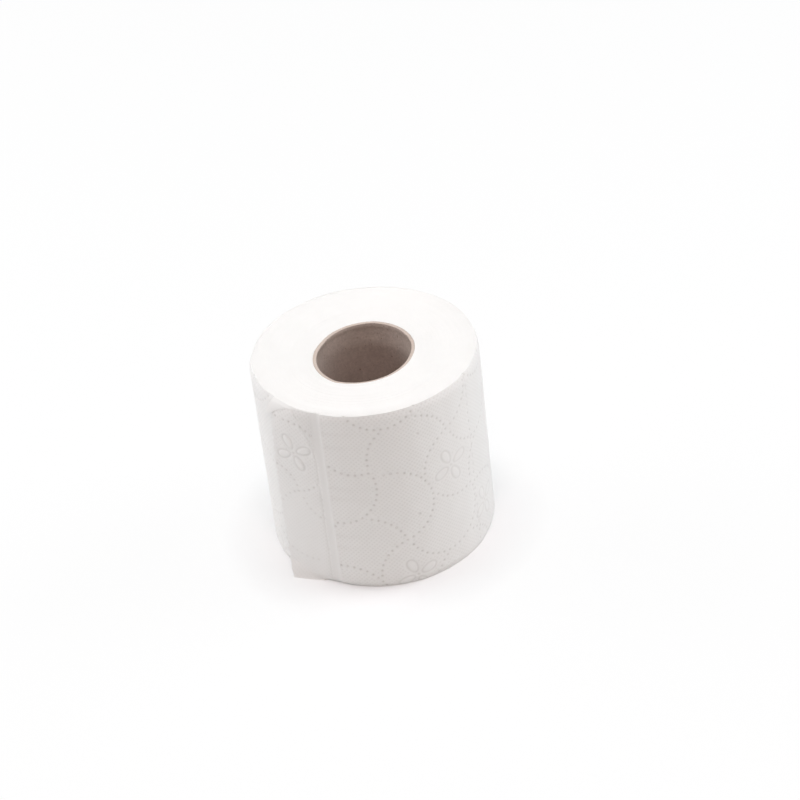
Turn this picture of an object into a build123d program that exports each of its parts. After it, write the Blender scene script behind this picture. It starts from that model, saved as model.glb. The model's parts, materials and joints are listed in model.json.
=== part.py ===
from build123d import *
import math
import os

# A toilet paper roll standing on one end: a long embossed sheet wound on a cardboard tube.
# Millimetres and degrees. The origin is on the tube's axis, on the face that the roll stands on.
# Angles are seen from above, from +X towards +Y. The sheet's free end is at the front left.

# Wound sheet
sheet_width = 93.5
roll_radius = 50.0
roll_offset = 2.6
turn_thickness = 0.45

# Cardboard tube
core_radius = 21.5
core_wall = 0.8
core_gap = 0.1
core_recess = 0.6

# The tube's upper mouth was pressed out of round, with a kink at the front left.
# Each pair is an angle and how far the mouth lies outside the round tube there. Pairs of one arc
# follow each other as start, middle and end, and the end starts the next arc.
mouth_depth = 10.0
kink_angle = -125
mouth_shape = [
    (kink_angle, 2.6),
    (-70, 0.75),
    (-15, 0.5),
    (30, 1.75),
    (75, 2.5),
    (112, 1.2),
    (148, 0.05),
    (190, 1.15),
]

# Turns that show on the two ends, as a spiral band that lies back from the turns beside it
band_turns = 4
band_width = 2.6
band_depth = 0.3
band_inner_radius = 27.0
band_margin = 2.6
band_start_angle = -90
arcs_per_turn = 4

# Free end of the sheet: its torn edge, and the crease where it was tacked to the turn beneath.
# The crease rises slowly from the free end's side and falls steeply on the other.
edge_angle = -148.5
crease_angle = -116.4
crease_height = 0.45
crease_rise_width = 4.0
crease_fall_width = 0.9

# Lower corner of the free end, which stands off the roll and reaches the floor
lift_height = 28.0
lift_angle = -127.0
corner_reach = 6.2
corner_angle = -142.7
corner_bow = 0.6
corner_sink = 0.1
knee_height = 9.0
knee_share = 0.42


def polar(radius, angle, axis_y=0.0):
    """Point at a radius and an angle about an axis on the line X = 0."""
    turned = math.radians(angle)
    return Vector(radius * math.cos(turned), axis_y + radius * math.sin(turned))


def outline_radius(angle):
    """Radius of the last turn, which loses one thickness on its way round from the free edge."""
    return roll_radius + turn_thickness * (1 - (angle - edge_angle) / 360)


def outline_point(angle, proud=0.0):
    """Point on the last turn, or that much outside it."""
    return polar(outline_radius(angle) + proud, angle, roll_offset)


def winding_point(angle, side):
    """Point on the band, wound clockwise and outwards by an angle from its inner end.

    Its centre moves from the tube's axis to the axis of the roll's outside. The side is -1 for
    the band's inner wall and 1 for its outer wall.
    """
    share = angle / (360 * band_turns)
    outer = roll_radius - band_margin
    radius = band_inner_radius + share * (outer - band_inner_radius)
    return polar(radius + side * band_width / 2, band_start_angle - angle, share * roll_offset)


def band_wall(side):
    """Arcs along one wall of the band."""
    step = 360 / arcs_per_turn
    for quarter in range(band_turns * arcs_per_turn):
        start = quarter * step
        ThreePointArc(
            winding_point(start, side),
            winding_point(start + step / 2, side),
            winding_point(start + step, side),
        )


def tube_section(radius, height, pressed):
    """Section of a tube of that radius: round where pressed is 0, the mouth's own where it is 1."""
    points = [polar(radius + pressed * ease, angle) for angle, ease in mouth_shape]
    points.append(points[0])
    with BuildSketch(Plane.XY.offset(height)) as section:
        with BuildLine():
            for start in range(0, len(mouth_shape), 2):
                ThreePointArc(*points[start : start + 3])
        make_face()
    return section.sketch


def round_to_mouth(radius):
    """Sections at both ends of the pressed mouth."""
    return [
        tube_section(radius, sheet_width - mouth_depth, 0),
        tube_section(radius, sheet_width, 1),
    ]


def tail_section(height, share):
    """Section of the sheet's free end at a height. The share is how far it stands off there."""
    sunk = turn_thickness + corner_sink
    wound_end = outline_point(edge_angle, -corner_sink)
    free_end = polar(roll_radius + corner_reach, corner_angle, roll_offset)
    end = wound_end + (free_end - wound_end) * share
    leave = outline_point(lift_angle, -corner_sink)
    wound_middle = outline_point((lift_angle + edge_angle) / 2, -corner_sink)
    free_middle = (leave + free_end) / 2
    bow = (free_middle - Vector(0, roll_offset)).normalized() * corner_bow
    middle = wound_middle + (free_middle + bow - wound_middle) * share
    inwards = (Vector(0, roll_offset) - end).normalized() * sunk
    with BuildSketch(Plane.XY.offset(height)) as section:
        with BuildLine():
            ThreePointArc(leave, middle, end)
            Line(end, end + inwards)
            ThreePointArc(end + inwards, middle + inwards, leave + inwards)
            Line(leave + inwards, leave)
        make_face()
    return section.sketch


# Outside of the wound sheet, with the step at its free edge and the crease
crease_start = crease_angle - math.degrees(crease_rise_width / roll_radius)
crease_end = crease_angle + math.degrees(crease_fall_width / roll_radius)
round_angles = [crease_end, 0, 90, 180, edge_angle + 360]
with BuildPart() as paper_roll:
    with BuildSketch():
        with BuildLine():
            ThreePointArc(
                outline_point(edge_angle),
                outline_point((edge_angle + crease_start) / 2),
                outline_point(crease_start),
            )
            Line(outline_point(crease_start), outline_point(crease_angle, crease_height))
            Line(outline_point(crease_angle, crease_height), outline_point(crease_end))
            for start, end in zip(round_angles, round_angles[1:]):
                ThreePointArc(
                    outline_point(start), outline_point((start + end) / 2), outline_point(end)
                )
            Line(outline_point(edge_angle + 360), outline_point(edge_angle))
        make_face()
    extrude(amount=sheet_width)

    # Lower corner of the free end
    tail_sections = [
        tail_section(0, 1),
        tail_section(knee_height, knee_share),
        tail_section(lift_height, 0),
    ]
    loft(sections=tail_sections)

    # Space for the tube, with its pressed mouth
    with BuildSketch():
        Circle(core_radius + core_gap)
    extrude(amount=sheet_width - mouth_depth, mode=Mode.SUBTRACT)
    loft(sections=round_to_mouth(core_radius + core_gap), ruled=True, mode=Mode.SUBTRACT)

    # Spiral band on both ends
    for end_height, depth in ((0, band_depth), (sheet_width, -band_depth)):
        with BuildSketch(Plane.XY.offset(end_height)):
            with BuildLine():
                band_wall(-1)
                band_wall(1)
                Line(winding_point(0, -1), winding_point(0, 1))
                Line(winding_point(360 * band_turns, -1), winding_point(360 * band_turns, 1))
            make_face()
        extrude(amount=depth, mode=Mode.SUBTRACT)
paper_roll.part.label = "paper_roll"

# Cardboard tube, flush at the bottom and a little below the sheet at the mouth
with BuildPart() as core_tube:
    with BuildSketch():
        Circle(core_radius)
    extrude(amount=sheet_width - mouth_depth)
    loft(sections=round_to_mouth(core_radius), ruled=True)
    with BuildSketch():
        Circle(core_radius - core_wall)
    extrude(amount=sheet_width - mouth_depth, mode=Mode.SUBTRACT)
    loft(sections=round_to_mouth(core_radius - core_wall), ruled=True, mode=Mode.SUBTRACT)
    with BuildSketch(Plane.XY.offset(sheet_width)):
        Circle(roll_radius)
    extrude(amount=-core_recess, mode=Mode.SUBTRACT)
core_tube.part.label = "core_tube"

os.makedirs("parts", exist_ok=True)
export_step(paper_roll.part, "parts/paper_roll.step")
export_step(core_tube.part, "parts/core_tube.step")
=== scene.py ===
# %% [markdown]
# # A toilet paper roll
#
# A roll of embossed tissue is one long web of soft paper, wound about sixty times on a cardboard
# tube. Only a little of it shows: the last turn, the cut edges of all the turns at the two ends,
# and the inside of the tube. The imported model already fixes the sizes, so each piece here is
# built on them. Work is done in millimetres, and a finished mesh is scaled to metres once.

# %% Load the fixed frame
import json
import math

import bmesh
import bpy
import numpy as np
from mathutils import Matrix, Vector


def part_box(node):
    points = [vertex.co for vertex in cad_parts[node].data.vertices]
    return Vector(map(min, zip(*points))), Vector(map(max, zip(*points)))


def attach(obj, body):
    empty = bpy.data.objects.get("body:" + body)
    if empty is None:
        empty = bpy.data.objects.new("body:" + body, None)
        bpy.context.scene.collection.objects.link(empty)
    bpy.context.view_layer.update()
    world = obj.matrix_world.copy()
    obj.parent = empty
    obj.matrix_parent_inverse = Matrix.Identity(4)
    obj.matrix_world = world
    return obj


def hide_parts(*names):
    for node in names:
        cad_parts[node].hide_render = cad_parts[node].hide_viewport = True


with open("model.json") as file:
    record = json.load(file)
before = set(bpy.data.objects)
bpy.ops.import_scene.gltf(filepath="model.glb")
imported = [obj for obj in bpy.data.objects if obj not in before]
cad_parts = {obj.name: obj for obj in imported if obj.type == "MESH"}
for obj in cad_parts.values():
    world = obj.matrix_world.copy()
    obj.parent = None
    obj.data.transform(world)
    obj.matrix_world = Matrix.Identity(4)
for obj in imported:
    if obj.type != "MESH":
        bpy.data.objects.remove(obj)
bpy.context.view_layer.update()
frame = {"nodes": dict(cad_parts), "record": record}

mm = 0.001
print("nodes:", sorted(frame["nodes"]))

# %% Sizes of the roll, from the frame
_, roll_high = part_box("paper_roll")
_, core_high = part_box("core_tube")
bore = next(mount for mount in frame["record"]["mounts"] if mount["name"] == "core_bore")

sheet_width = roll_high[2] / mm
core_top = core_high[2] / mm
bore_radius = bore["dims"]["r_mm"]
round_height = bore["dims"]["length_mm"]

# At the back, where the box ends, the last turn lies back_rise outside roll_radius.
turn_thickness = 0.45
roll_radius = 50.0
back_rise = 0.15
roll_offset = roll_high[1] / mm - roll_radius - back_rise
core_wall = 0.8
core_radius = bore_radius + core_wall
print("height", round(sheet_width, 2), "offset of the tube", round(roll_offset, 2))

# %% [markdown]
# ## The camera
#
# The photograph looks down on the roll by 36 degrees, a little tilted. The camera stands far back
# with a long lens, so the two ends look nearly alike. It could be placed by hand in the viewport,
# but a distance, an angle above the horizon and three small turns can be measured and corrected
# one by one.

# %% Camera
camera_distance = 1161.97
camera_elevation = 36.18
camera_roll = 7.39
camera_pan = 0.66
camera_tilt = 0.69
focal_pixels = 2606.86
image_pixels = 800


def add_object(name, data):
    """Puts a new object with its data in the scene."""
    thing = bpy.data.objects.new(name, data)
    bpy.context.scene.collection.objects.link(thing)
    return thing


camera_data = bpy.data.cameras.new("camera")
camera_data.sensor_width = 36.0
camera_data.lens = focal_pixels / image_pixels * camera_data.sensor_width
camera = add_object("camera", camera_data)
bpy.context.scene.camera = camera

elevation = math.radians(camera_elevation)
aim = Vector((0, roll_offset, sheet_width / 2))
eye = aim + camera_distance * Vector((0, -math.cos(elevation), math.sin(elevation)))
camera.matrix_world = (
    Matrix.Translation(eye * mm)
    @ Matrix.Rotation(math.pi / 2 - elevation, 4, "X")
    @ Matrix.Rotation(math.radians(-camera_pan), 4, "Y")
    @ Matrix.Rotation(math.radians(camera_tilt), 4, "X")
    @ Matrix.Rotation(math.radians(-camera_roll), 4, "Z")
)
print("lens", round(camera_data.lens, 1), "mm")

# %% [markdown]
# ## The embossing
#
# Two steel rollers press the web before it is wound. They leave rings of dots that pass over and
# under each other, small flowers of four petals, and a ground of fine pin dots. Each is pressed
# into the sheet, so the whole pattern can be one height map over the flat web: a grid of depths,
# with one stamp for each dot. It is then read at the vertices of the sheet. This is real
# geometry, because the dots are wider than a pixel, and a bump would vanish at the roll's edge.

# %% The flat web and its height map
sheet_length = 98.8
sheet_columns = 276
sheet_rows = 261
sheets_shown = 4
last_sheet_columns = 156
web_columns = sheet_columns * (sheets_shown - 1) + last_sheet_columns
step_u = sheet_length / sheet_columns
step_v = sheet_width / sheet_rows
web_length = web_columns * step_u
web_u = np.arange(web_columns + 1) * step_u
web_v = np.arange(sheet_rows + 1) * step_v
dot_softness = 1.5
emboss = np.zeros((sheet_rows + 1, web_columns + 1))
smooth_zone = np.zeros(emboss.shape, bool)
print("web", round(web_length), "mm long,", emboss.size, "heights")


def window(u, v, reach):
    """The part of the map within a reach of a point, and each height's place from that point."""
    rows = slice(max(0, int((v - reach) / step_v)), max(0, int((v + reach) / step_v) + 2))
    columns = slice(max(0, int((u - reach) / step_u)), max(0, int((u + reach) / step_u) + 2))
    du = web_u[columns][None, :] - u
    dv = web_v[rows][:, None] - v
    return rows, columns, du, dv


def press_dot(u, v, radius, depth):
    """Presses one round dot with a soft rim."""
    rows, columns, du, dv = window(u, v, radius)
    near = np.clip(1 - (du**2 + dv**2) / radius**2, 0, 1)
    emboss[rows, columns] -= depth * near**dot_softness


def keep_smooth(u, v, radius):
    """Keeps pin dots away from a point."""
    rows, columns, du, dv = window(u, v, radius)
    smooth_zone[rows, columns] |= du**2 + dv**2 < radius**2


# %% [markdown]
# The loose end was stuck down a little askew, and the crease took up the difference. So the
# pattern on the end is the same regular one, sheared and lowered, and lowered most near its free
# edge, where the sheet stands off the roll and slipped down. What the shear takes past the crease
# is hidden in it. One rule moves every point, so the rings, flowers and pin dots stay together.

# %% Where a point of the pattern shows
crease_u = 28.0
tail_shear = 0.10
tail_pivot = 35.0
tail_drop = 1.1
edge_reach = 12.0
edge_drop = 0.02
edge_drop_top = 80.0
edge_drop_border = 15.0


def shown_place(u, v):
    """Where a point of the regular pattern shows, or None where the crease hides it."""
    if u > crease_u:
        return u, v
    moved = u + tail_shear * (v - tail_pivot)
    if moved > crease_u:
        return None
    low = min(max((edge_drop_top - v) / edge_drop_border, 0), 1)
    return moved, v - tail_drop - edge_drop * low * max(edge_reach - moved, 0) ** 2


# %% [markdown]
# The rings stand on a slightly turned square lattice, with every other row and column shifted a
# little. A ring is wider than the lattice's step, so each one crosses its four neighbours. To
# weave them, one of each pair is on top, and the dots of the other are left out where they would
# lie inside it. Which one is on top changes from row to row and from column to column. Where two
# rings cross they share a dot.

# %% Rings of dots
ring_origin = (54.7, 42.9)
ring_step_i = (24.35, -12.6)
ring_step_j = (-11.97, -24.86)
odd_i_shift = (-0.1, -0.6)
odd_j_shift = (-1.4, 1.8)
ring_radius = 18.9
ring_dots = 40
ring_phases = (0.65, 0.93)
dot_radius = 0.80
dot_depth = 0.34
dot_hollow_radius = 2.2
dot_hollow_depth = 0.05
clear_of_dots = 1.75
shared_dot = 2.1
covered_margin = 0.8
hidden_from = 22.4
least_overlap = 1.0
lattice_columns = range(-6, 20)
lattice_rows = range(-12, 12)
dots_pressed = []


def ring_centre(i, j):
    """Centre of a ring on the web."""
    return tuple(
        ring_origin[k]
        + i * ring_step_i[k]
        + j * ring_step_j[k]
        + i % 2 * odd_i_shift[k]
        + j % 2 * odd_j_shift[k]
        for k in (0, 1)
    )


def rings_above(i, j):
    """Centres of the two neighbours that pass over a ring."""
    beside = (i - 1, j) if j % 2 == 0 else (i + 1, j)
    below = (i, j + 1) if i % 2 == 0 else (i, j - 1)
    return ring_centre(*beside), ring_centre(*below)


def is_near_web(u, v, reach):
    """True for a point on the web or within a reach of it."""
    return -reach < u < web_length + reach and -reach < v < sheet_width + reach


def press_ring(i, j):
    """Presses the dots of a ring that no other ring covers or shares."""
    centre_u, centre_v = ring_centre(i, j)
    above = rings_above(i, j)
    for k in range(ring_dots):
        turn = 2 * math.pi * (k + ring_phases[i % 2]) / ring_dots
        u = centre_u + ring_radius * math.cos(turn)
        v = centre_v + ring_radius * math.sin(turn)
        covered = any(math.dist((u, v), other) < ring_radius - covered_margin for other in above)
        covered = covered or hidden_from < u < crease_u
        place = shown_place(u, v)
        if covered or place is None or not is_near_web(*place, dot_hollow_radius):
            continue
        if any(math.dist(place, other) < shared_dot for other in dots_pressed):
            continue
        press_dot(*place, dot_hollow_radius, dot_hollow_depth)
        press_dot(*place, dot_radius, dot_depth)
        keep_smooth(*place, clear_of_dots)
        dots_pressed.append(place)


rings = [(i, j) for i in lattice_columns for j in lattice_rows]
ring_reach = ring_radius - least_overlap
rings = [ring for ring in rings if is_near_web(*ring_centre(*ring), ring_reach)]
for i, j in rings:
    press_ring(i, j)
print(len(rings), "rings with", len(dots_pressed), "dots")

# %% [markdown]
# A flower is four petals drawn as closed grooves round a middle dot. The inside of a petal swells
# a little, as the paper does between two pressed lines. Small stamps along the line would leave a
# beaded groove, so each height's distance to the outline gives a smooth one, and a soft cushion is
# added inside. Two columns of rings in four have flowers, in every other ring, and each kind has
# its own place beside the ring's centre.

# %% Flowers
flower_offsets = {
    (1, 1): (-3.0, -2.2),
    (1, 3): (-5.2, -1.7),
    (2, 0): (3.0, 2.6),
    (2, 2): (3.0, 2.6),
}
petal_angles = (23, 113, 203, 293)
petal_start = 1.9
petal_length = 7.4
petal_width = 4.2
petal_inner_share = 0.8
petal_outer_gain = 0.35
petal_points = 60
groove_radius = 0.50
groove_depth = 0.23
petal_swell = 0.09
middle_dot_radius = 0.95
middle_dot_depth = 0.25
clear_of_groove = 1.3
clear_of_middle = petal_start + 0.5
flower_reach = 10.5


def petal_outline(angle):
    """Points round one petal: pointed towards the flower's middle, round outside."""
    t = np.linspace(0, 2 * math.pi, petal_points, endpoint=False)
    share = (1 - np.cos(t)) / 2
    along = petal_start + petal_length * share
    across = petal_width / 2 * np.sin(t) * (petal_inner_share + petal_outer_gain * share)
    turn = math.radians(angle)
    return (
        along * math.cos(turn) - across * math.sin(turn),
        along * math.sin(turn) + across * math.cos(turn),
    )


def press_flower(u, v):
    """Presses one flower, and keeps pin dots out of it."""
    rows, columns, du, dv = window(u, v, flower_reach)
    nearest = np.full((dv.shape[0], du.shape[1]), np.inf)
    swell = np.zeros(nearest.shape)
    for angle in petal_angles:
        line_u, line_v = petal_outline(angle)
        gaps = np.hypot(du[..., None] - line_u, dv[..., None] - line_v).min(axis=2)
        nearest = np.minimum(nearest, gaps)
        turn = math.radians(angle)
        along = (du * math.cos(turn) + dv * math.sin(turn) - petal_start) / petal_length
        across = (-du * math.sin(turn) + dv * math.cos(turn)) / (petal_width / 2)
        inside = np.clip(1 - (2 * along - 1) ** 2 - across**2, 0, 1)
        swell += petal_swell * np.sqrt(inside)
    emboss[rows, columns] += swell - groove_depth * np.exp(-((nearest / groove_radius) ** 2))
    smooth_zone[rows, columns] |= (nearest < clear_of_groove) | (swell > 0)
    press_dot(u, v, middle_dot_radius, middle_dot_depth)
    keep_smooth(u, v, clear_of_middle)


flower_count = 0
for i, j in rings:
    if (i % 4, j % 4) in flower_offsets:
        offset_u, offset_v = flower_offsets[i % 4, j % 4]
        centre_u, centre_v = ring_centre(i, j)
        place = shown_place(centre_u + offset_u, centre_v + offset_v)
        if place and is_near_web(*place, flower_reach):
            press_flower(*place)
            flower_count += 1
print(flower_count, "flowers")

# %% [markdown]
# Fine pin dots fill the ground, in close rows, with every other row moved by half a step. A bump
# texture could show them too, but as part of the same height map they slip with the end, and stop
# cleanly beside a flower or a dot.

# %% Pin dots
pin_step = 3
pin_radius = 0.56
pin_depth = 0.165

pin_count = 0
for row in range(0, sheet_rows + 1, pin_step):
    for column in range(row % 2 * pin_step, web_columns + 1, 2 * pin_step):
        place = shown_place(column * step_u, row * step_v)
        if place is None or not is_near_web(*place, 0):
            continue
        if not smooth_zone[round(place[1] / step_v), round(place[0] / step_u)]:
            press_dot(*place, pin_radius, pin_depth)
            pin_count += 1
print(pin_count, "pin dots")

# %% [markdown]
# Where the glue was, between the crease and a groove beside it, the pattern is pressed flat, and
# the tissue there is coloured a little darker, more towards the top. The lower part of the loose
# end was handled most, and there the pattern is more than half gone. Past the front it is
# shallower too. Each change of depth is one factor on the finished map, so no dot has to know about
# them.

# %% Glued strip and worn part
strip_start = 23.2
strip_end = 28.4
strip_border = 0.9
strip_flatness = 0.95
strip_fade = 1.8
# The glued strip is coloured darker, more towards the top than at its foot.
strip_darkness = 0.28
strip_foot_share = 0.6
# The wrinkle's darker colour is painted shade in its groove.
wrinkle_painted_shade = 0.30
wrinkle_start = strip_start + 0.5
wrinkle_foot = 68.0
wrinkle_top = 87.0
wrinkle_reach = 6.3
wrinkle_bend = 1.6
wrinkle_limit = 1.4
worn_height = 62.0
worn_border = 26.0
worn_length = 24.0
worn_fade = 4.0
worn_share = 0.6
shallow_start = 60.0
shallow_border = 28.0
shallow_share = 0.4
nicks = [(66.2, 37.0, 1.1), (69.4, 79.0, 0.9)]
nick_depth = 0.22


def bump(distance, width):
    """A soft hump: 1 in the middle and near nothing past twice its width."""
    return np.exp(-((distance / width) ** 2))


def strip_share(u):
    """1 on the glued strip, and 0 away from it."""
    from_start = np.clip((u - strip_start) / strip_border, 0, 1)
    return from_start * np.clip((strip_end - u) / strip_border, 0, 1)


def groove_line(v):
    """The strip's left border, which turns away to the left near the top as a wrinkle."""
    turned = np.clip((v - wrinkle_foot) / (wrinkle_top - wrinkle_foot), 0, wrinkle_limit)
    return wrinkle_start - wrinkle_reach * turned**wrinkle_bend


emboss *= 1 - strip_flatness * strip_share(web_u)[None, :]
worn = np.clip((worn_height - web_v) / worn_border, 0, 1)[:, None]
emboss *= 1 - worn_share * worn * np.clip((worn_length - web_u) / worn_fade, 0, 1)[None, :]
emboss *= 1 - shallow_share * np.clip((web_u - shallow_start) / shallow_border, 0, 1)[None, :]
for nick_u, nick_v, nick_radius in nicks:
    press_dot(nick_u, nick_v, nick_radius, nick_depth)
print("pattern from", round(emboss.min(), 2), "to", round(emboss.max(), 2), "mm")


def read_emboss(u, v):
    """Height of the pattern at web points, between its grid lines too."""
    just_inside = 1e-6
    column = np.clip(u / step_u, 0, web_columns - just_inside)
    row = np.clip(v / step_v, 0, sheet_rows - just_inside)
    c = column.astype(int)
    r = row.astype(int)
    along = column - c
    up = row - r
    low = emboss[r, c] * (1 - along) + emboss[r, c + 1] * along
    high = emboss[r + 1, c] * (1 - along) + emboss[r + 1, c + 1] * along
    return low * (1 - up) + high * up


# %% [markdown]
# ## Where the web lies
#
# Each point of the flat web has a place on the roll: so far round from the free edge, so high, and
# so far out. The last turn loses one thickness on its way round. On top of that come the marks of
# handling: soft waves, the crease, the slack of the end, the rounded rims with a dent below and
# a fold above, and the lower corner that stands off the roll and rests on the floor. A cloth
# simulation would make marks of its own, so each of these is a small function of the place on
# the web, and they are added up.

# %% Rims of the roll, for the sheets and for the turns beneath
edge_angle = math.radians(-148.5)
turn_length = 2 * math.pi * roll_radius
rim_zone = 4.2
rim_lean = 0.95
rim_drop = 0.10
dent_u = 25.0
dent_width = 18.0
dent_zone = 5.0
dent_depth = 2.0
fold_u = 5.0
fold_width = 9.0
fold_zone = 8.0
fold_lean = 1.1
fold_bend = 1.5


def fade(distance, reach, bend=2):
    """1 at a border, and softly down to 0 at a reach from it."""
    return np.clip(1 - distance / reach, 0, 1) ** bend


def distance_round(u, other_u):
    """Distance round the roll from one place on the last turn to another, the short way."""
    return (u - other_u + turn_length / 2) % turn_length - turn_length / 2


def rim_inset(u, v):
    """How far the side leans in: at both rims, in the dent below and by the fold above."""
    lean = rim_lean * fade(np.minimum(v, sheet_width - v), rim_zone)
    dent = (dent_depth - rim_lean) * bump(distance_round(u, dent_u), dent_width)
    fold = fold_lean * bump(distance_round(u, fold_u), fold_width)
    lean = lean + dent * fade(v, dent_zone)
    return lean + fold * fade(sheet_width - v, fold_zone, fold_bend)


def rim_height(v):
    """Height of a web point, a little lower at the upper rim and higher at the lower one."""
    low = rim_drop * fade(v, rim_zone)
    high = rim_drop * fade(sheet_width - v, rim_zone)
    return v + low - high


# %% Marks of handling
slow_wave = dict(height=0.10, pitch=31.0, start=0.9, sway=0.5, sway_pitch=120.0, sway_start=0.0)
quick_wave = dict(height=0.04, pitch=11.3, start=0.0, sway=2.0, sway_pitch=75.0, sway_start=1.0)
level_wave = dict(height=0.05, pitch=38.0, start=0.0, sway=1.4, sway_pitch=60.0, sway_start=0.5)
strip_depth = 0.09
valley_u = 24.4
valley_depth = 0.30
valley_length = 6.0
wrinkle_width = 0.6
wrinkle_depth = 0.20
slack_length = 23.0
slack_height = 2.15
slack_border = 14.0
ridge_height = 0.14
ridge_width = 0.5
ripple_heights = [84.2, 77.0, 63.0, 55.0, 49.4, 28.7, 22.3]
ripple_width = 1.3
ripple_depth = 0.20
# The ripples' darker colour is painted shade along each ripple.
ripple_painted_shade = 0.20
ripple_border = 1.0
ripple_reach = 9.0


def wave(along, across, height, pitch, start, sway, sway_pitch, sway_start):
    """A wave that goes along, and sways to and fro on its way across."""
    swayed = sway * np.sin(2 * math.pi * across / sway_pitch + sway_start)
    return height * np.sin(2 * math.pi * along / pitch + start + swayed)


def waves(u, v):
    """Soft unevenness of the wound sheet: two upright waves and a level one."""
    return wave(u, v, **slow_wave) + wave(u, v, **quick_wave) + wave(v, u, **level_wave)


def ripple_share(u, v):
    """1 on a level ripple beside the crease, and less further on."""
    past = np.clip(u - crease_u, 0, None)
    ripples = sum(bump(v - height, ripple_width) for height in ripple_heights)
    return ripples * np.clip(past / ripple_border, 0, 1) * np.exp(-past / ripple_reach)


def tack_marks(u, v):
    """The strip in its valley, the wrinkle, the crease, ripples past it and the end's slack."""
    strip = strip_depth * strip_share(u)
    valley = valley_depth * np.exp(-np.abs(u - valley_u) / valley_length)
    wrinkle = wrinkle_depth * bump(u - groove_line(v), wrinkle_width)
    slack = slack_height * fade(u, slack_length)
    slack = slack * np.clip((sheet_width - v) / slack_border, 0, 1)
    ridge = ridge_height * bump(u - crease_u, ridge_width)
    return slack - strip - valley - wrinkle + ridge - ripple_depth * ripple_share(u, v)


# %% [markdown]
# The lower corner flares out from a line that slants from the free edge to the floor. Below the
# line it leaves the roll at once, and above it more gently. On the floor the edge runs straight.

# %% Lower corner
lift_start = 18.8
lift_height = 24.0
lift_knee = 9.0
lift_knee_share = 0.14
corner_reach = 6.2
corner_angle = math.radians(-142.7)
corner_trim = 0.9
corner_bow = 0.3
past_limit = 1.25
least_knee = 0.05
gentle_gain = 3
leave_radius = roll_radius - 0.4
leave_angle = edge_angle + lift_start / roll_radius


def lift_share(past, v):
    """How far the end stands off, from 0 to 1. Past is 0 at the leaving point, 1 at the corner."""
    knee = lift_knee * np.maximum(past, least_knee)
    low = 1 - (1 - lift_knee_share) * v / knee
    high = lift_knee_share * np.clip((lift_height - v) / (lift_height - knee), 0, 1) ** 2
    gentle = high * np.clip(past * gentle_gain, 0, 1)
    return np.where(past <= 0, 0.0, np.where(v < knee, np.maximum(low, gentle), gentle))


def lifted_place(past, proud):
    """Places on the slightly bowed line from the leaving point to the corner."""
    leave = leave_radius * np.array([math.cos(leave_angle), math.sin(leave_angle)])
    reach = roll_radius + corner_reach
    corner = reach * np.array([math.cos(corner_angle), math.sin(corner_angle)])
    run = corner - leave
    outwards = np.array([run[1], -run[0]]) / np.linalg.norm(run)
    outwards = outwards * math.copysign(1, outwards @ leave)
    off_line = proud + 4 * corner_bow * past * (1 - past)
    return [leave[k] + run[k] * past + outwards[k] * off_line for k in (0, 1)]


def web_place(u, v, proud):
    """Places of web points on the roll, in millimetres."""
    round_again = np.where(u > turn_length, u - turn_length, u)
    angle = edge_angle + u / roll_radius
    radius = roll_radius + turn_thickness * (1 - u / turn_length) + proud
    radius = radius + waves(round_again, v) - rim_inset(round_again, v)
    radius = radius + np.where(u < 2 * crease_u, tack_marks(u, v), 0.0)
    x = radius * np.cos(angle)
    y = radius * np.sin(angle)
    past = np.clip((lift_start - u) / (lift_start - corner_trim), 0, past_limit)
    share = lift_share(past, v)
    free_x, free_y = lifted_place(past, proud)
    x = x + (free_x - x) * share
    y = y + (free_y - y) * share
    z = rim_height(v) - rim_drop * fade(v, rim_zone) * share
    return np.stack([x, y + roll_offset, z], axis=1)


print("one turn is", round(turn_length, 1), "mm round")

# %% [markdown]
# ## The sheets
#
# Perforations divide the web into sheets, and the last turn shows three whole ones and a part of
# the next, which goes on under the loose end. Each sheet is a thin closed shell. A Solidify
# modifier would make its hidden side as fine as the outside. So the outside is a fine grid that
# takes the embossing, the back is a coarse one, and the two are bridged into the paper's edge.

# %% Helpers for meshes
def grid_shares(verts):
    """Where the vertices of a fresh unit grid lie, from 0 to 1 along and up."""
    places = np.array([vert.co[:2] for vert in verts])
    return places[:, 0] + 0.5, places[:, 1] + 0.5


def set_places(verts, places):
    """Moves vertices to their places."""
    for vert, place in zip(verts, places):
        vert.co = place


def rim_edges(bm):
    """The open edges of a mesh, marked so that the surface stays crisp there."""
    edges = [edge for edge in bm.edges if edge.is_boundary]
    for edge in edges:
        edge.smooth = False
    return edges


def finish_piece(bm, name, materials, node):
    """Turns a bmesh into a smooth-shaded piece that rides on the roll and stands for a node."""
    bmesh.ops.scale(bm, vec=(mm, mm, mm), verts=bm.verts)
    mesh = bpy.data.meshes.new(name)
    for face in bm.faces:
        face.smooth = True
    bm.to_mesh(mesh)
    bm.free()
    piece = add_object(name, mesh)
    for material in materials:
        mesh.materials.append(material)
    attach(piece, "root")
    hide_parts(node)
    mesh.calc_loop_triangles()
    print(name, len(mesh.loop_triangles), "triangles")
    return piece


# %% Edges of a sheet
sheet_thickness = 0.38
back_columns = 34
back_rows = 26
edge_inset = 1.3
edge_slant = 0.06
edge_slant_foot = 60.0
edge_zone = 20.0
edge_tears = [(0.14, 1.27, 0.8), (0.12, 7.9, 0.0)]
edge_slip_bend = 6
tooth_depth = 0.3
perforation_pitch = 4.6
perforation_depth = 0.12
perforation_gain = 2
perforation_bridge = 0.6
perforation_columns = 2


def ragged(along, tears):
    """How far a torn line strays. Each tear is a wave with a depth, a pitch and a start."""
    return sum(depth * np.sin(2 * math.pi * along / pitch + start) for depth, pitch, start in tears)


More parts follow.
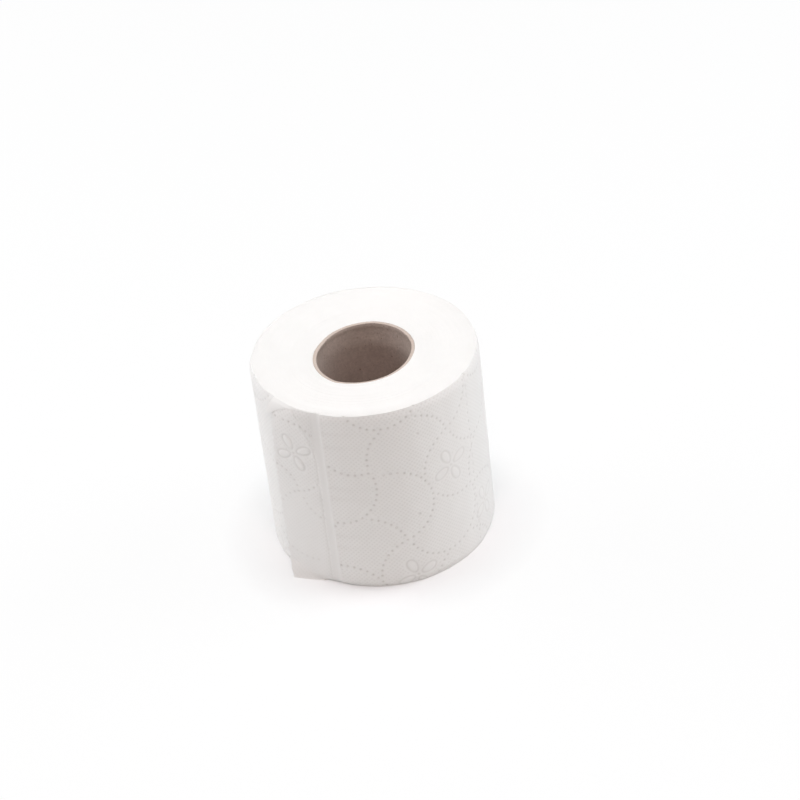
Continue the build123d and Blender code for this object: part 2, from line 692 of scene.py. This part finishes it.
def torn_edge(v):
    """How far the torn free edge lies in from a straight one: teeth, and more at both corners."""
    teeth = tooth_depth * np.sin(2 * math.pi * v / perforation_pitch)
    corner = corner_trim * fade(v, lift_height)
    slant = edge_slant * np.clip(v - edge_slant_foot, 0, None)
    return edge_inset + slant + teeth + ragged(v, edge_tears) + corner


foot = np.zeros(1)
print("the lower corner is at", web_place(torn_edge(foot), foot, 0.0)[0].round(1))


def perforated(u, v, first_u, last_u):
    """How deep the cuts of the perforation press at places near a sheet's two ends."""
    cut = perforation_gain * np.cos(2 * math.pi * v / perforation_pitch) - perforation_bridge
    from_end = np.minimum(u - first_u, last_u - u)
    near_end = np.clip(1 - from_end / (perforation_columns * step_u), 0, 1)
    return perforation_depth * np.clip(cut, 0, 1) * near_end


def shade_and_strip_marks(u, v):
    """Painted shade in the wrinkle and ripples, and the darker glued strip with its paler border.
    """
    wrinkle = wrinkle_painted_shade * bump(u - groove_line(v), wrinkle_width)
    glued = np.clip((u - groove_line(v)) / strip_border, 0, 1)
    glued = strip_darkness * glued * np.clip((crease_u - u) / strip_fade, 0, 1)
    glued = glued * (strip_foot_share + (1 - strip_foot_share) * v / sheet_width)
    rippled = ripple_painted_shade * ripple_share(u, v)
    return np.where(u < 2 * crease_u, glued + wrinkle + rippled, 0.0)


# %% Making a sheet
def close_shell(bm, back):
    """Turns the back grid round and bridges the two grids along their edges."""
    bmesh.ops.reverse_faces(bm, faces=list({face for vert in back for face in vert.link_faces}))
    bmesh.ops.bridge_loops(bm, edges=rim_edges(bm))
    bmesh.ops.recalc_face_normals(bm, faces=bm.faces)


def make_sheet(name, first_column, columns, material):
    """One sheet of the web, between two perforations, as a closed thin shell."""
    first_u = first_column * step_u
    last_u = first_u + columns * step_u

    def web_point(along, up):
        """Web coordinates of grid shares. The first sheet gives way to the torn edge."""
        u = first_u + along * (last_u - first_u)
        v = up * sheet_width
        if first_column == 0:
            u = u + torn_edge(v) * np.clip(1 - u / edge_zone, 0, 1)
            v = v - tail_drop * np.clip(1 - u / crease_u, 0, 1) * up**edge_slip_bend
        return u, v

    bm = bmesh.new()
    # The "pressed" layer: pressing depth, plus painted shade and the darker glued strip.
    pressed = bm.verts.layers.float.new("pressed")
    bmesh.ops.create_grid(bm, x_segments=columns, y_segments=sheet_rows, size=0.5)
    front = list(bm.verts)
    u, v = web_point(*grid_shares(front))
    height = read_emboss(u, v) - perforated(u, v, first_u, last_u)
    front_places = web_place(u, v, height)
    for vert, depth in zip(front, np.clip(-height / dot_depth, 0, 1) + shade_and_strip_marks(u, v)):
        vert[pressed] = depth

    back_grid = bmesh.ops.create_grid(bm, x_segments=back_columns, y_segments=back_rows, size=0.5)
    back = back_grid["verts"]
    u, v = web_point(*grid_shares(back))
    back_places = web_place(u, v, np.full(len(back), -sheet_thickness))

    set_places(front, front_places)
    set_places(back, back_places)
    close_shell(bm, back)
    return finish_piece(bm, name, [material], "paper_roll")


# %% [markdown]
# ## Finishes
#
# Tissue is matt and almost white, with a loose felt of fibres that scatters light. Grey board is
# pressed waste paper: brown grey, with darker and paler fibres. Both are made of the same thing,
# so one node group makes the felt of fibres, and each finish uses it at its own scale. Where the
# embossing presses the plies together the tissue lets more light through and looks darker. Its
# colour is darkened there, partly for that and partly as painted shade in the dots and grooves.
# The wrinkle and the ripples get painted shade the same way, and the glued strip a darker colour.
# Nodes can't find these places, so each vertex carries how far it is pressed, with the painted
# shade added.

# %% Fibre group
def times(tree, value, factor):
    """The value of a socket times a number."""
    product = tree.nodes.new("ShaderNodeMath")
    product.operation = "MULTIPLY"
    product.inputs[1].default_value = factor
    tree.links.new(value, product.inputs[0])
    return product.outputs["Value"]


def make_fibre_group():
    """Node group with masks from 0 to 1: fine fibres, flecks, slow clouds and sparse specks."""
    group = bpy.data.node_groups.new("paper_fibres", "ShaderNodeTree")
    sockets = group.interface
    sockets.new_socket("Scale", in_out="INPUT", socket_type="NodeSocketFloat")
    for mask in ("Fibres", "Flecks", "Clouds", "Specks"):
        sockets.new_socket(mask, in_out="OUTPUT", socket_type="NodeSocketFloat")
    nodes = group.nodes
    links = group.links
    ends_in = nodes.new("NodeGroupInput")
    ends_out = nodes.new("NodeGroupOutput")
    place = nodes.new("ShaderNodeTexCoord")

    def noise(share_of_scale, detail, distortion):
        """Noise at a share of the group's scale."""
        texture = nodes.new("ShaderNodeTexNoise")
        texture.inputs["Detail"].default_value = detail
        texture.inputs["Roughness"].default_value = 0.65
        texture.inputs["Distortion"].default_value = distortion
        links.new(place.outputs["Object"], texture.inputs["Vector"])
        scale = times(group, ends_in.outputs["Scale"], share_of_scale)
        links.new(scale, texture.inputs["Scale"])
        return texture.outputs["Fac"]

    def between(value, low, high):
        """0 where a value is low, 1 where it is high."""
        stretch = nodes.new("ShaderNodeMapRange")
        stretch.inputs["From Min"].default_value = low
        stretch.inputs["From Max"].default_value = high
        links.new(value, stretch.inputs["Value"])
        return stretch.outputs["Result"]

    fibres = noise(share_of_scale=1.0, detail=4.0, distortion=1.2)
    flecks = noise(share_of_scale=0.6, detail=3.0, distortion=0.3)
    clouds = noise(share_of_scale=0.06, detail=6.0, distortion=0.0)
    specks = noise(share_of_scale=0.45, detail=1.0, distortion=0.6)
    links.new(fibres, ends_out.inputs["Fibres"])
    links.new(between(flecks, low=0.35, high=0.65), ends_out.inputs["Flecks"])
    links.new(clouds, ends_out.inputs["Clouds"])
    links.new(between(specks, low=0.69, high=0.82), ends_out.inputs["Specks"])
    return group


fibre_group = make_fibre_group()
print(fibre_group.name, "with", len(fibre_group.nodes), "nodes")

# %% Paper finish
paper_roughness = 0.95
paper_gloss = 0.2
fleck_share = 0.5


def tinted(tree, mask, colour, shaded):
    """Mixes a colour, or a socket that gives one, with another by a mask."""
    mix = tree.nodes.new("ShaderNodeMix")
    mix.data_type = "RGBA"
    tree.links.new(mask, mix.inputs["Factor"])
    if isinstance(colour, tuple):
        mix.inputs["A"].default_value = (*colour, 1.0)
    else:
        tree.links.new(colour, mix.inputs["A"])
    mix.inputs["B"].default_value = (*shaded, 1.0)
    return mix.outputs["Result"]


def make_paper(name, scale, dark, light, fleck, speck, relief_height, relief_strength):
    """A matt finish of paper fibres, and the socket with its colour, for what is laid over it."""
    material = bpy.data.materials.new(name)
    material.use_nodes = True
    tree = material.node_tree
    nodes = tree.nodes
    links = tree.links
    shader = nodes["Principled BSDF"]
    shader.inputs["Roughness"].default_value = paper_roughness
    shader.inputs["Specular IOR Level"].default_value = paper_gloss
    fibres = nodes.new("ShaderNodeGroup")
    fibres.node_tree = fibre_group
    fibres.inputs["Scale"].default_value = scale
    soft_flecks = times(tree, fibres.outputs["Flecks"], fleck_share)
    colour = tinted(tree, fibres.outputs["Clouds"], dark, light)
    colour = tinted(tree, soft_flecks, colour, fleck)
    colour = tinted(tree, fibres.outputs["Specks"], colour, speck)
    links.new(colour, shader.inputs["Base Color"])
    relief = nodes.new("ShaderNodeBump")
    relief.inputs["Distance"].default_value = relief_height * mm
    relief.inputs["Strength"].default_value = relief_strength
    links.new(fibres.outputs["Fibres"], relief.inputs["Height"])
    links.new(relief.outputs["Normal"], shader.inputs["Normal"])
    return material, colour


# %% Tissue
tissue, tissue_colour = make_paper(
    "tissue",
    scale=2600.0,
    dark=(0.862, 0.852, 0.832),
    light=(0.898, 0.890, 0.872),
    fleck=(0.885, 0.877, 0.860),
    speck=(0.885, 0.877, 0.860),
    relief_height=0.05,
    relief_strength=0.35,
)
# The tissue darkens where pressed: partly ply translucency, partly painted shade in the hollows.
pressed_and_shade_colour = (0.60, 0.575, 0.55)
pressed_and_shade_strength = 0.6

tree = tissue.node_tree
pressed_and_shade_depth = tree.nodes.new("ShaderNodeAttribute")
pressed_and_shade_depth.attribute_name = "pressed"
pressed_and_shade_mask = times(tree, pressed_and_shade_depth.outputs["Fac"], pressed_and_shade_strength)
embossed_and_shaded = tinted(tree, pressed_and_shade_mask, tissue_colour, pressed_and_shade_colour)
tree.links.new(embossed_and_shaded, tree.nodes["Principled BSDF"].inputs["Base Color"])
print(tissue.name, "with", len(tree.nodes), "nodes")

# %% Make the sheets of the last turn
sheet_pieces = []
for number in range(sheets_shown):
    first = number * sheet_columns
    count = sheet_columns if number < sheets_shown - 1 else last_sheet_columns
    sheet_pieces.append(make_sheet(f"sheet_{number + 1}", first, count, tissue))

# %% [markdown]
# The upper corner of the loose end is folded over outwards and hangs below the rim as a small
# flap. It is smooth, because its inner side shows, and it leans a little off the roll, so it
# catches more light than the sheet. A sharp fold would crush the fine grid of the sheet, so the
# flap is a small shell of its own, two grids bridged like a sheet's. Its top is tucked in over the
# sheet's edge. Its lower edge is the sheet's torn end, thin and ragged, deep at the corner and
# running out along the rim.

# %% Turned-over corner
flap_start = 2.0
flap_end = 20.5
flap_top = sheet_width - 0.05
flap_depth_at = [flap_start, 3.6, 6.0, 8.5, 11.0, 14.5, flap_end]
flap_depths = [7.0, 8.1, 6.1, 3.6, 2.0, 1.0, 0.2]
flap_slant = 0.5
flap_gap = 0.03
flap_tuck = 0.5
flap_tuck_height = 1.2
flap_lean = 0.02
flap_lean_depth = 2.0
flap_thin_share = 0.2
flap_tears = [(0.10, 1.9, 0.0), (0.12, 4.7, 1.0)]
flap_ragged_from = 0.5
flap_columns = 90
flap_rows = 18


def flap_drop(u):
    """How far below the rim the flap's lower edge lies. It is ragged where it hangs deep enough."""
    drop = np.interp(u, flap_depth_at, flap_depths)
    return drop + ragged(u, flap_tears) * np.clip(drop - flap_ragged_from, 0, 1)


def make_turned_corner(material):
    """The small flap at the upper corner of the loose end, as a closed thin shell."""
    bm = bmesh.new()
    sides = []
    for thickness in (sheet_thickness, 0.0):
        grid = bmesh.ops.create_grid(bm, x_segments=flap_columns, y_segments=flap_rows, size=0.5)
        verts = grid["verts"]
        along, up = grid_shares(verts)
        u = flap_start + along * (flap_end - flap_start)
        below = (1 - up) * flap_drop(u)
        lean = flap_lean * below * np.clip(flap_drop(u) / flap_lean_depth, 0, 1)
        tuck = flap_tuck * np.clip(1 - below / flap_tuck_height, 0, 1)
        lift = thickness * (flap_thin_share + (1 - flap_thin_share) * up)
        proud = flap_gap + lift + lean - tuck
        set_places(verts, web_place(u - flap_slant * below, flap_top - below, proud))
        sides.append(verts)
    close_shell(bm, sides[1])
    return finish_piece(bm, "turned_corner", [material], "paper_roll")


turned_corner = make_turned_corner(tissue)

# %% [markdown]
# ## The wound turns
#
# At the ends of the roll the edges of all the turns show as a fine spiral. Rings of bump would be
# quicker, but they close, and a spiral doesn't. So the mesh is wound as the paper is: a flat grid
# becomes a spiral ribbon, where one side of the grid meets the other one turn further in. Four
# rows make a turn, and the first of them is pressed down as the gap beside the next turn. The two
# halves of the roll are a piece each, because each end needs a whole fine grid.

# %% The mouth of the tube
mouth_angles = [-125, -70, -15, 30, 75, 112, 148, 190, 235]
mouth_eases = [2.6, 0.75, 0.5, 1.75, 2.5, 1.2, 0.05, 1.15, 2.6]


def mouth_ease(angle):
    """How far the pressed mouth lies outside the round tube, at angles in radians.

    Three neighbouring points make each stretch, a parabola, and its end starts the next one.
    """
    turned = (np.degrees(angle) - mouth_angles[0]) % 360 + mouth_angles[0]
    ease = np.zeros(np.shape(turned))
    for k in range(0, len(mouth_angles) - 1, 2):
        a, b, c = mouth_angles[k : k + 3]
        curve = np.polyfit((a, b, c), mouth_eases[k : k + 3], 2)
        ease = np.where((turned >= a) & (turned <= c), np.polyval(curve, turned), ease)
    return ease


print("the mouth lies up to", max(mouth_eases), "mm outside the round tube")

# %% Sizes of the wound turns
rows_per_turn = 4
hole_overlap = 0.05
hole_radius = core_radius - hole_overlap
hole_lowering = 0.15
web_end_angle = edge_angle + web_length / roll_radius
web_end_radius = roll_radius + turn_thickness * (1 - web_length / turn_length)
turns_wound = int((web_end_radius - hole_radius) / turn_thickness) - 1
gap_depth = np.array((0.11, 0.03, 0.0, 0.02))
turn_unevenness = 0.06
winding_unevenness = 0.2
winding_slowness = 6
winding_seed = 3
upper_end_seed = 5
lower_end_seed = 6
knots_per_turn = 5
lowered_turns = 2
rim_share = 0.8
wall_depths = (0.4, 0.9, 1.8, 3.2, 5.0, 10.0, sheet_width / 2)
upper_columns = 360
lower_columns = 230
merge_distance = 0.0005
print("turns wound:", turns_wound)


def web_noise(turns_along, seed):
    """Smooth random values along the web, from about -1 to 1."""
    rng = np.random.default_rng(seed)
    knots = rng.uniform(-1, 1, (turns_wound + 3) * knots_per_turn)
    return np.interp(turns_along * knots_per_turn, np.arange(len(knots)), knots)


def side_shift(angle, v):
    """How far the roll's side lies out or in at an angle about the roll's axis and a height."""
    u = (angle - edge_angle) * roll_radius % turn_length
    return waves(u, v) - rim_inset(u, v)


def turns_out(turns_along):
    """Turns counted outwards from the tube. The first one hugs it, so it leaves no gap."""
    return np.where(turns_along < 1, turns_along**3 / 3, turns_along - 2 / 3)


# %% Wound halves of the roll
def wound_end(along, row, upper):
    """Places on the end face, by shares along a turn and rows outwards."""
    angle = web_end_angle + 2 * math.pi * along
    turns_along = row / rows_per_turn + 1 - along
    share = turns_out(turns_along) / turns_out(turns_wound + 1)
    ease = mouth_ease(angle) * (1 - share) ** 2 if upper else 0.0
    inner = hole_radius + ease
    radius = inner + (web_end_radius - inner) * share
    strayed = winding_unevenness * web_noise(turns_along / winding_slowness, winding_seed)
    radius = radius + strayed * share * (1 - share)
    near_rim = np.clip((share - rim_share) / (1 - rim_share), 0, 1) ** 2
    radius = radius + side_shift(angle, sheet_width if upper else 0.0) * near_rim
    sunk = np.where(row > 0, gap_depth[row % rows_per_turn], 0.0) + rim_drop * near_rim**3
    sunk = sunk + hole_lowering * np.clip(1 - turns_along / lowered_turns, 0, 1)
    uneven = web_noise(turns_along, upper_end_seed if upper else lower_end_seed)
    height = np.minimum(turn_unevenness * uneven, 0) - sunk
    z = sheet_width + height if upper else -height
    centre_y = roll_offset * share
    return np.stack([radius * np.cos(angle), centre_y + radius * np.sin(angle), z], axis=1)


def mouth_share(v):
    """How much of the mouth's pressed shape the tube has at a height, from 0 to 1."""
    return max(0.0, (v - round_height) / (sheet_width - round_height))


def wall_place(place, v_before, v, upper):
    """Place on the side or on the hole's wall at a height, from the place at the height before."""
    x, y, _ = place
    if math.hypot(x, y) < (hole_radius + web_end_radius) / 2:
        angle = math.atan2(y, x)
        change = mouth_share(v) - mouth_share(v_before) if upper else 0.0
        radius = math.hypot(x, y) + float(mouth_ease(angle)) * change
        return radius * math.cos(angle), radius * math.sin(angle), v
    angle = math.atan2(y - roll_offset, x)
    radius = math.hypot(x, y - roll_offset)
    radius += float(side_shift(angle, v) - side_shift(angle, v_before))
    return radius * math.cos(angle), roll_offset + radius * math.sin(angle), v


def make_wound_half(name, upper, columns, material):
    """Half of the wound turns, from one end of the roll to the middle of its height."""
    bm = bmesh.new()
    rows = turns_wound * rows_per_turn
    bmesh.ops.create_grid(bm, x_segments=columns, y_segments=rows, size=0.5)
    verts = list(bm.verts)
    along, up = grid_shares(verts)
    set_places(verts, wound_end(along, np.rint(up * rows).astype(int), upper))
    bmesh.ops.remove_doubles(bm, verts=bm.verts, dist=merge_distance)

    rims = rim_edges(bm)
    v_before = sheet_width if upper else 0.0
    for depth in wall_depths:
        v = sheet_width - depth if upper else depth
        wall = bmesh.ops.extrude_edge_only(bm, edges=rims)["geom"]
        for vert in (part for part in wall if isinstance(part, bmesh.types.BMVert)):
            vert.co = wall_place(vert.co, v_before, v, upper)
        rims = [edge for edge in bm.edges if edge.is_boundary]
        v_before = v
    bmesh.ops.bridge_loops(bm, edges=rims)
    bmesh.ops.recalc_face_normals(bm, faces=bm.faces)
    return finish_piece(bm, name, [material], "paper_roll")


upper_turns = make_wound_half("upper_turns", True, upper_columns, tissue)
lower_turns = make_wound_half("lower_turns", False, lower_columns, tissue)

# %% [markdown]
# ## The cardboard tube
#
# The tube is wound from strips of grey board and cut with the roll. A cylinder with a Solidify
# modifier would do for a plain tube, but here the rim needs rows of its own. So an outline of the
# wall and its two ends is spun once about the axis. The upper mouth is then pressed out of round
# like the paper round it. The cut edge is rough, stands up most at the back, curls in most at the
# back and both sides, and has one frayed spot.

# %% Cardboard finishes
grey_board, _ = make_paper(
    "grey_board",
    scale=1500.0,
    dark=(0.36, 0.290, 0.250),
    light=(0.60, 0.492, 0.434),
    fleck=(0.30, 0.255, 0.222),
    speck=(0.20, 0.150, 0.12),
    relief_height=0.12,
    relief_strength=0.6,
)
cut_board, _ = make_paper(
    "cut_board",
    scale=2600.0,
    dark=(0.53, 0.435, 0.375),
    light=(0.70, 0.595, 0.53),
    fleck=(0.57, 0.485, 0.43),
    speck=(0.80, 0.75, 0.70),
    relief_height=0.15,
    relief_strength=0.8,
)
print(grey_board.name, "and", cut_board.name)

# %% Tube
tube_segments = 320
wall_rows = 60
rim_rows = 4
rim_depth = 3.0
rim_rise = 0.65
rim_rise_at_back = 0.2
rim_curl = 0.85
rim_curl_even = 0.35
rim_curl_at_back = 0.35
rim_curl_at_sides = 0.5
rim_curl_on_left = 0.1
rim_tolerance = 0.01
rim_seed = 11
rim_roughness = 0.06
level_face = 0.6
fray_angle = math.radians(17)
fray_width = 0.16
fray_height = 0.45
fray_spread = 0.25


def tube_section():
    """The wall's outline, from the bottom of the bore up, over the rim and down the outside."""
    bore = [(bore_radius, z) for z in np.linspace(0, core_top, wall_rows + 1)]
    rim = [(r, core_top) for r in np.linspace(bore_radius, core_radius, rim_rows + 1)[1:-1]]
    outside = [(core_radius, z) for z in (core_top, core_top - rim_depth, round_height, 0.0)]
    foot = [(r, 0.0) for r in np.linspace(core_radius, bore_radius, 3)[1:-1]]
    return bore + rim + outside + foot


def rim_curl_share(angle):
    """How much of its curl the cut edge has at an angle: more at the back and at both sides."""
    sideways = rim_curl_at_sides - rim_curl_on_left * math.cos(angle)
    even = rim_curl_even + rim_curl_at_back * math.sin(angle)
    return even + sideways * math.cos(angle) ** 2


def make_tube():
    """The cardboard tube, spun from its outline, with its pressed mouth and curled rim."""
    bm = bmesh.new()
    ring = [bm.verts.new((r, 0, z)) for r, z in tube_section()]
    edges = [bm.edges.new((a, b)) for a, b in zip(ring, ring[1:] + ring[:1])]
    bmesh.ops.spin(
        bm,
        geom=ring + edges,
        axis=(0, 0, 1),
        angle=2 * math.pi,
        steps=tube_segments,
        use_merge=True,
    )
    bmesh.ops.recalc_face_normals(bm, faces=bm.faces)
    for face in bm.faces:
        face.material_index = 1 if abs(face.normal.z) > level_face else 0

    rng = np.random.default_rng(rim_seed)
    torn = rng.uniform(-1, 1, (tube_segments, 2))
    for vert in bm.verts:
        x, y, z = vert.co
        angle = math.atan2(y, x)
        radius = math.hypot(x, y) + float(mouth_ease(angle)) * mouth_share(z)
        if z > core_top - rim_tolerance:
            up, out = torn[round(angle / (2 * math.pi) * tube_segments) % tube_segments]
            fray = bump(angle - fray_angle, fray_width)
            z += rim_rise * (1 - rim_rise_at_back + rim_rise_at_back * math.sin(angle))
            outer = max(0, math.hypot(x, y) - bore_radius) / core_wall
            radius -= rim_curl * (1 - outer) * rim_curl_share(angle)
            z += rim_roughness * up + fray_height * fray * up
            radius -= fray_spread * fray * abs(out)
        vert.co = (radius * math.cos(angle), radius * math.sin(angle), z)
    return finish_piece(bm, "tube", [grey_board, cut_board], "core_tube")


tube = make_tube()

# %% The finished pieces
pieces = [*sheet_pieces, turned_corner, upper_turns, lower_turns, tube]
triangles = sum(len(piece.data.loop_triangles) for piece in pieces)
print(len(pieces), "pieces with", triangles, "triangles")

# %% [markdown]
# ## Floor, backdrop and light
#
# The roll stands on a wide white floor. Light comes from above and from both sides, with the
# front in mild shade, so the side keeps its grey and the upper end is nearly white. More light
# would make the background white too, but would wash out the tissue. So Light Path shows the
# camera a plain white floor and world, and the light on the roll stays as it is. Close to the roll
# the floor shows more of its own shade, so the shadow stays.

# %% Floor
floor_radius = 6.0
floor_segments = 96
floor_shade = 0.9
shadow_radius = 0.052
white_radius = 0.075
white_in_shadow = 0.2
white_further_out = 0.9


def sees_backdrop(tree):
    """1 for the rays that show the backdrop: from the camera, in gloss and through glass."""
    path = tree.nodes.new("ShaderNodeLightPath")
    total = path.outputs["Is Camera Ray"]
    for ray in ("Is Glossy Ray", "Is Transmission Ray"):
        higher = tree.nodes.new("ShaderNodeMath")
        higher.operation = "MAXIMUM"
        tree.links.new(total, higher.inputs[0])
        tree.links.new(path.outputs[ray], higher.inputs[1])
        total = higher.outputs["Value"]
    return total


def show_backdrop(tree, share, plain, white, output):
    """Mixes a surface, or the world, with the white that the camera sees, by a share."""
    mix = tree.nodes.new("ShaderNodeMixShader")
    tree.links.new(share, mix.inputs["Fac"])
    tree.links.new(plain, mix.inputs[1])
    tree.links.new(white, mix.inputs[2])
    tree.links.new(mix.outputs["Shader"], tree.nodes[output].inputs["Surface"])


def make_floor():
    """A wide round floor, part diffuse and part plain white to the camera."""
    bm = bmesh.new()
    bmesh.ops.create_circle(bm, cap_ends=True, radius=floor_radius, segments=floor_segments)
    mesh = bpy.data.meshes.new("floor")
    bm.to_mesh(mesh)
    bm.free()
    floor = add_object("floor", mesh)
    material = bpy.data.materials.new("pale_floor")
    material.use_nodes = True
    tree = material.node_tree
    nodes = tree.nodes
    links = tree.links
    shader = nodes["Principled BSDF"]
    shader.inputs["Base Color"].default_value = (floor_shade, floor_shade, floor_shade, 1.0)
    shader.inputs["Roughness"].default_value = 0.9
    shader.inputs["Specular IOR Level"].default_value = 0.0
    glow = nodes.new("ShaderNodeEmission")
    glow.inputs["Color"].default_value = (1, 1, 1, 1)
    place = nodes.new("ShaderNodeTexCoord")
    distance = nodes.new("ShaderNodeVectorMath")
    distance.operation = "LENGTH"
    links.new(place.outputs["Object"], distance.inputs[0])
    whiter = nodes.new("ShaderNodeMapRange")
    whiter.inputs["From Min"].default_value = shadow_radius
    whiter.inputs["From Max"].default_value = white_radius
    whiter.inputs["To Min"].default_value = white_in_shadow
    whiter.inputs["To Max"].default_value = white_further_out
    links.new(distance.outputs["Value"], whiter.inputs["Value"])
    share = nodes.new("ShaderNodeMath")
    share.operation = "MULTIPLY"
    links.new(whiter.outputs["Result"], share.inputs[1])
    links.new(sees_backdrop(tree), share.inputs[0])
    plain = shader.outputs["BSDF"]
    white = glow.outputs["Emission"]
    show_backdrop(tree, share.outputs["Value"], plain, white, "Material Output")
    mesh.materials.append(material)


make_floor()
print("floor", 2 * floor_radius, "m wide")

# %% World
room_colour = (1.0, 0.95, 0.90, 1.0)
room_strength = 0.02

world = bpy.data.worlds.new("studio")
bpy.context.scene.world = world
world.use_nodes = True
tree = world.node_tree
room = tree.nodes["Background"]
room.inputs["Color"].default_value = room_colour
room.inputs["Strength"].default_value = room_strength
backdrop = tree.nodes.new("ShaderNodeBackground")
backdrop.inputs["Color"].default_value = (1, 1, 1, 1)
backdrop.inputs["Strength"].default_value = 1.0
plain = room.outputs["Background"]
white = backdrop.outputs["Background"]
show_backdrop(tree, sees_backdrop(tree), plain, white, "World Output")

# %% Lamps
# Each lamp has its place and width in metres, its power in watts and its colour.
lamp_aim = Vector((0, 0, 0.05))
lamps = {
    "overhead": ((0.0, 0.10, 1.4), 0.9, 5.9, (0.84, 0.986, 1.0)),
    "front_top": ((0.0, -0.75, 1.3), 0.6, 7.85, (1.0, 0.831, 0.819)),
    "low_front": ((0.0, -1.3, 0.3), 0.6, 0.62, (0.83, 1.0, 0.756)),
    "left": ((-1.2, 0.20, 0.7), 0.8, 5.26, (0.905, 0.935, 1.0)),
    "left_back": ((-1.1, 0.7, 0.7), 0.8, 7.9, (1.0, 0.975, 0.955)),
    "right": ((1.2, 0.20, 0.7), 0.8, 8.2, (0.938, 0.966, 1.0)),
    "right_top": ((0.9, 0.0, 1.2), 0.6, 3.33, (1.0, 0.97, 0.979)),
}


def soft_lamp(name, place, size, power, colour):
    """A square soft lamp that looks at the roll."""
    data = bpy.data.lights.new(name, "AREA")
    data.shape = "SQUARE"
    data.size = size
    data.energy = power
    data.color = colour
    lamp = add_object(name, data)
    lamp.location = place
    look = lamp_aim - Vector(place)
    lamp.rotation_euler = look.to_track_quat("-Z", "Y").to_euler()


for lamp_name, settings in lamps.items():
    soft_lamp(lamp_name, *settings)
print("lamps:", *lamps)

bpy.context.scene.view_settings.view_transform = "Standard"
